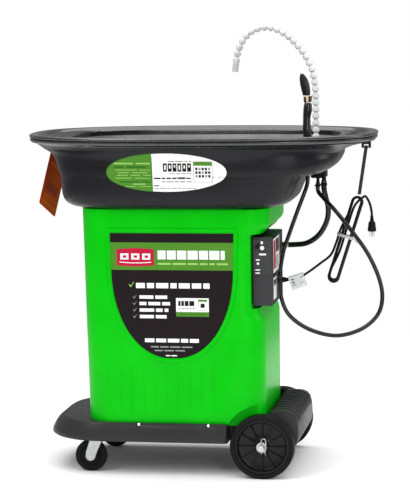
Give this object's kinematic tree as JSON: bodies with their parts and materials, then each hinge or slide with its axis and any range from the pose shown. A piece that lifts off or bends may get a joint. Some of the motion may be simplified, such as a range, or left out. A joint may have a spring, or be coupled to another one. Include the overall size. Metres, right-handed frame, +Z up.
{
  "type": "parts washer tank",
  "caption": "Wheeled parts washer: a deep black sink with a jointed spout and flow brush on a green reservoir, with a side control box, hoses and a hung cord.",
  "frame": {"origin": "on the floor, under the middle of the sink rim", "axes": "+Z up; +X towards the big wheels, the spout and the control box; -Y is the front that carries the labels"},
  "size_m": [1.1466, 0.6404, 1.4173],
  "materials": {
    "basin_black": "satin rotomoulded black polyethylene, fine orange peel, soft wide highlights",
    "tank_green": "bright green rotomoulded polyethylene, semi-gloss",
    "base_black": "dark grey-black moulded plastic, light texture",
    "box_grey": "dark grey moulded front with fine texture",
    "box_black": "black moulded plastic",
    "hub_black": "black moulded wheel centre",
    "tyre_black": "black solid rubber, dull",
    "zinc": "bright zinc plate with small scratches",
    "steel": "plain turned steel",
    "spout_white": "white slightly translucent acetal, soft sheen",
    "hose_black": "black flexible hose with a soft sheen",
    "cord_black": "black cord jacket, matt",
    "strap_black": "black woven strap",
    "grommet_rubber": "black rubber",
    "bristle": "dense black nylon filaments",
    "collar_beige": "beige moulded collar with a bright spot",
    "button_white": "white moulded button",
    "window_red": "translucent red light window",
    "mat_grey": "pale felted filter layer",
    "tag_orange": "orange-brown coated card"
  },
  "bodies": {
    "tank": {"tank_shell": "tank_green", "base_dolly": "base_black", "sink_basin": "basin_black", "filter_mat": "mat_grey", "drain_strainer": "steel", "axle": "steel", "near_axle_washer": "zinc", "far_axle_washer": "zinc", "near_hitch_pin": "zinc", "far_hitch_pin": "zinc", "base_bolt_left": "zinc", "base_bolt_right": "zinc", "near_caster_plate": "zinc", "far_caster_plate": "zinc", "control_housing": "box_black", "control_cover": "box_grey", "status_window": "window_red", "cord_gland": "box_black", "pump_body": "base_black", "pump_screen": "box_black", "riser_pipe": "spout_white", "wall_port": "spout_white", "heater_element": "steel", "float_stem": "steel", "flow_manifold": "box_black", "supply_hose": "hose_black", "brush_hose": "hose_black", "brush_grommet": "grommet_rubber", "cord_run": "cord_black", "cord_hank": "cord_black", "plug_lead": "cord_black", "plug": "cord_black", "cord_hook": "basin_black", "hanger_strap": "strap_black"},
    "near_wheel": {"near_wheel_hub": "hub_black", "near_wheel_tyre": "tyre_black"},
    "far_wheel": {"far_wheel_hub": "hub_black", "far_wheel_tyre": "tyre_black"},
    "near_caster": {"near_caster_fork": "zinc", "near_caster_bolt": "steel"},
    "near_caster_roller": {"near_caster_wheel": "tyre_black"},
    "far_caster": {"far_caster_fork": "zinc", "far_caster_bolt": "steel"},
    "far_caster_roller": {"far_caster_wheel": "tyre_black"},
    "grate": {"sink_grate": "base_black"},
    "spout_foot": {"spout_base": "spout_white"},
    "spout_1": {"spout_links_1": "spout_white"},
    "spout_2": {"spout_links_2": "spout_white"},
    "spout_3": {"spout_links_3": "spout_white"},
    "spout_4": {"spout_links_4": "spout_white"},
    "spout_5": {"spout_links_5": "spout_white"},
    "spout_6": {"spout_links_6": "spout_white"},
    "spout_tip": {"spout_nozzle": "spout_white"},
    "brush": {"brush_handle": "box_black", "brush_collar": "collar_beige", "brush_bristles": "bristle"},
    "button": {"power_button": "button_white"},
    "impeller": {"pump_impeller": "spout_white"},
    "float": {"float_ball": "spout_white"},
    "tag": {"hang_tag": "tag_orange"}
  },
  "joints": [
    {"name": "near_wheel_spin", "type": "hinge", "parent": "tank", "child": "near_wheel", "pos_m": [0.215, -0.237, 0.1016], "axis": [0, 1, 0], "continuous": true},
    {"name": "far_wheel_spin", "type": "hinge", "parent": "tank", "child": "far_wheel", "pos_m": [0.215, 0.237, 0.1016], "axis": [0, 1, 0], "continuous": true},
    {"name": "near_caster_swivel", "type": "hinge", "parent": "tank", "child": "near_caster", "pos_m": [-0.322, -0.185, 0.14], "axis": [0, 0, 1], "continuous": true},
    {"name": "near_caster_roll", "type": "hinge", "parent": "near_caster", "child": "near_caster_roller", "pos_m": [-0.347, -0.185, 0.0508], "axis": [0, 1, 0], "continuous": true},
    {"name": "far_caster_swivel", "type": "hinge", "parent": "tank", "child": "far_caster", "pos_m": [-0.322, 0.185, 0.14], "axis": [0, 0, 1], "continuous": true},
    {"name": "far_caster_roll", "type": "hinge", "parent": "far_caster", "child": "far_caster_roller", "pos_m": [-0.347, 0.185, 0.0508], "axis": [0, 1, 0], "continuous": true},
    {"name": "grate_lift", "type": "slide", "parent": "tank", "child": "grate", "axis": [0, 0, 1], "range_m": [0, 0.1]},
    {"name": "spout_swivel", "type": "hinge", "parent": "tank", "child": "spout_foot", "pos_m": [0.3617, 0.02, 0.97], "axis": [0, 0, 1], "range_deg": [-170, 170]},
    {"name": "spout_bend_1", "type": "hinge", "parent": "spout_foot", "child": "spout_1", "pos_m": [0.3617, 0.02, 0.99], "axis": [0, 1, 0], "range_deg": [-12, 12]},
    {"name": "spout_bend_2", "type": "hinge", "parent": "spout_1", "child": "spout_2", "pos_m": [0.36168, 0.02, 1.0975], "axis": [0, 1, 0], "range_deg": [-12, 12]},
    {"name": "spout_bend_3", "type": "hinge", "parent": "spout_2", "child": "spout_3", "pos_m": [0.36108, 0.02, 1.20499], "axis": [0, 1, 0], "range_deg": [-12, 12]},
    {"name": "spout_bend_4", "type": "hinge", "parent": "spout_3", "child": "spout_4", "pos_m": [0.33383, 0.02, 1.30786], "axis": [0, 1, 0], "range_deg": [-12, 12]},
    {"name": "spout_bend_5", "type": "hinge", "parent": "spout_4", "child": "spout_5", "pos_m": [0.26184, 0.02, 1.38642], "axis": [0, 1, 0], "range_deg": [-12, 12]},
    {"name": "spout_bend_6", "type": "hinge", "parent": "spout_5", "child": "spout_6", "pos_m": [0.16052, 0.02, 1.39424], "axis": [0, 1, 0], "range_deg": [-12, 12]},
    {"name": "spout_tip_bend", "type": "hinge", "parent": "spout_6", "child": "spout_tip", "pos_m": [0.10825, 0.02, 1.30452], "axis": [0, 1, 0], "range_deg": [-12, 12]},
    {"name": "brush_lift", "type": "slide", "parent": "tank", "child": "brush", "axis": [0, 0, 1], "range_m": [0, 0.12]},
    {"name": "power_press", "type": "slide", "parent": "tank", "child": "button", "axis": [0, 1, 0], "range_m": [0, 0.002], "stiffness_N_per_m": 400},
    {"name": "impeller_spin", "type": "hinge", "parent": "tank", "child": "impeller", "pos_m": [-0.12, 0.02, 0.19], "axis": [0, 0, 1], "continuous": true},
    {"name": "float_rise", "type": "slide", "parent": "tank", "child": "float", "axis": [0, 0, 1], "range_m": [0, 0.13]},
    {"name": "tag_swing", "type": "hinge", "parent": "tank", "child": "tag", "pos_m": [-0.523, 0.098, 1.0415], "axis": [0.9686, -0.2487, 0], "range_deg": [-25, 25]}
  ]
}
